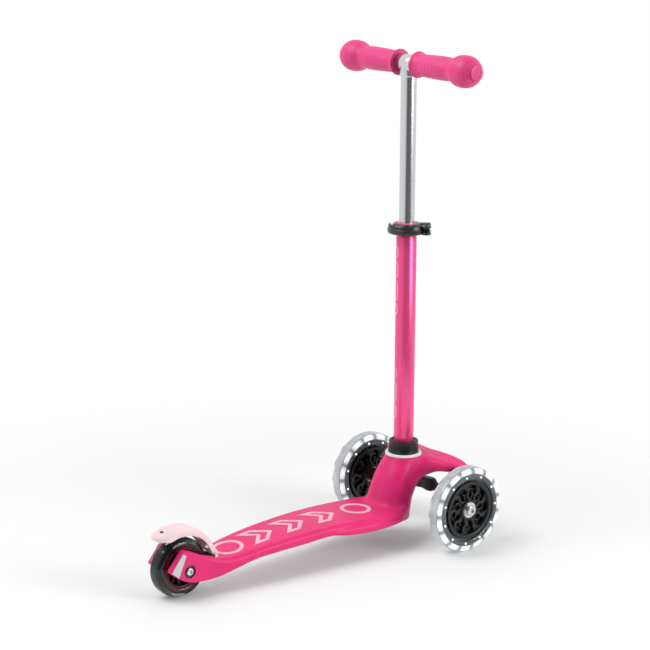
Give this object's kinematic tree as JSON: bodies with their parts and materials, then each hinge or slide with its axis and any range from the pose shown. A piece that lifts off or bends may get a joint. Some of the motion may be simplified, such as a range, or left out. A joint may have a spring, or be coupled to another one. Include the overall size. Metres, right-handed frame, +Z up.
{
  "type": "kick scooter",
  "caption": "Toddler's three-wheeled lean-to-steer kick scooter with a telescopic T-bar, quick-release clamp and foot brake.",
  "frame": {"origin": "on the floor, at the middle of the overall length and width", "axes": "+X forward, +Y to the rider's left, +Z up along the T-bar"},
  "size_m": [0.512, 0.2674, 0.688],
  "materials": {
    "pink_nylon": "satin moulded glass-filled nylon",
    "pale_rubber": "matt soft-touch rubber",
    "white_plastic": "gloss",
    "black_plastic": "satin",
    "pink_tube": "pink anodised",
    "pink_plastic": "satin",
    "silver_tube": "polished",
    "pink_rubber": "matt",
    "steel": "zinc plated",
    "smoke_tyre": "translucent smoky polyurethane",
    "clear_tyre": "clear polyurethane",
    "light_ring": "clear light guide with white diodes",
    "copper": "copper",
    "pale_plastic": "satin",
    "reflector": "retro-reflective film"
  },
  "bodies": {
    "chassis": {"deck": "pink_nylon", "deck_treads": "pale_rubber", "collar_ring": "white_plastic", "steerer_collar": "black_plastic", "lower_tube": "pink_tube", "guide_bush": "pink_plastic", "clamp_collar": "black_plastic", "clamp_eye_bolt": "steel", "clamp_nut": "steel", "clamp_hinge_pin": "steel", "rear_axle_spacers": "steel", "rear_axle_cups": "black_plastic", "rear_axle_bolt": "steel", "rear_axle_nut": "steel", "brake_pin": "steel", "brake_spring": "steel", "left_reflector": "reflector", "right_reflector": "reflector", "left_kingpin": "steel", "right_kingpin": "steel"},
    "t_bar": {"upper_tube": "silver_tube", "upper_tube_foot": "black_plastic", "crossbar": "silver_tube", "left_grip": "pink_rubber", "right_grip": "pink_rubber", "left_bar_plug": "pink_plastic", "right_bar_plug": "pink_plastic"},
    "clamp_lever": {"clamp_lever": "black_plastic"},
    "brake": {"brake": "pale_plastic", "brake_shoe": "steel", "brake_rivet": "steel"},
    "rear_wheel": {"rear_tyre": "smoke_tyre", "rear_wheel_core": "black_plastic", "rear_bearings": "steel"},
    "left_knuckle": {"left_knuckle": "black_plastic", "left_axle_bolt": "steel", "left_axle_washer": "steel", "left_dynamo_ring": "copper"},
    "right_knuckle": {"right_knuckle": "black_plastic", "right_axle_bolt": "steel", "right_axle_washer": "steel", "right_dynamo_ring": "copper"},
    "tie_bar": {"tie_bar": "black_plastic", "tie_bar_pins": "steel"},
    "left_wheel": {"left_tyre": "clear_tyre", "left_wheel_core": "black_plastic", "left_light_ring": "light_ring", "left_bearings": "steel"},
    "right_wheel": {"right_tyre": "clear_tyre", "right_wheel_core": "black_plastic", "right_light_ring": "light_ring", "right_bearings": "steel"}
  },
  "joints": [
    {"name": "height_slide", "type": "slide", "parent": "chassis", "child": "t_bar", "axis": [0, 0, 1], "range_m": [-0.19, 0]},
    {"name": "clamp_lever_swing", "type": "hinge", "parent": "chassis", "child": "clamp_lever", "pos_m": [0.18466, -0.02734, 0.441], "axis": [0, 0, 1], "range_deg": [0, 110]},
    {"name": "brake_pedal", "type": "hinge", "parent": "chassis", "child": "brake", "pos_m": [-0.17, 0, 0.05], "axis": [0, 1, 0], "range_deg": [-5, 0], "stiffness_Nm_per_rad": 1.5, "springref_deg": 14.32},
    {"name": "rear_wheel_spin", "type": "hinge", "parent": "chassis", "child": "rear_wheel", "pos_m": [-0.216, 0, 0.04], "axis": [0, 1, 0], "continuous": true},
    {"name": "lean_steer", "type": "hinge", "parent": "chassis", "child": "left_knuckle", "pos_m": [0.204, 0.07, 0.094], "axis": [0.7071, 0, 0.7071], "range_deg": [-12, 12], "stiffness_Nm_per_rad": 12},
    {"name": "right_lean_steer", "type": "hinge", "parent": "chassis", "child": "right_knuckle", "pos_m": [0.204, -0.07, 0.094], "axis": [0.7071, 0, 0.7071], "range_deg": [-12, 12], "stiffness_Nm_per_rad": 12},
    {"name": "tie_bar_pivot", "type": "hinge", "parent": "left_knuckle", "child": "tie_bar", "pos_m": [0.208, 0.07, 0.062], "axis": [0.7071, 0, 0.7071], "range_deg": [-12, 12]},
    {"name": "left_wheel_spin", "type": "hinge", "parent": "left_knuckle", "child": "left_wheel", "pos_m": [0.196, 0.1034, 0.06], "axis": [0, 1, 0], "continuous": true},
    {"name": "right_wheel_spin", "type": "hinge", "parent": "right_knuckle", "child": "right_wheel", "pos_m": [0.196, -0.1034, 0.06], "axis": [0, 1, 0], "continuous": true}
  ],
  "couplings": [
    {"joint": "right_lean_steer", "follows": "lean_steer", "ratio": 1},
    {"joint": "tie_bar_pivot", "follows": "lean_steer", "ratio": -1}
  ]
}
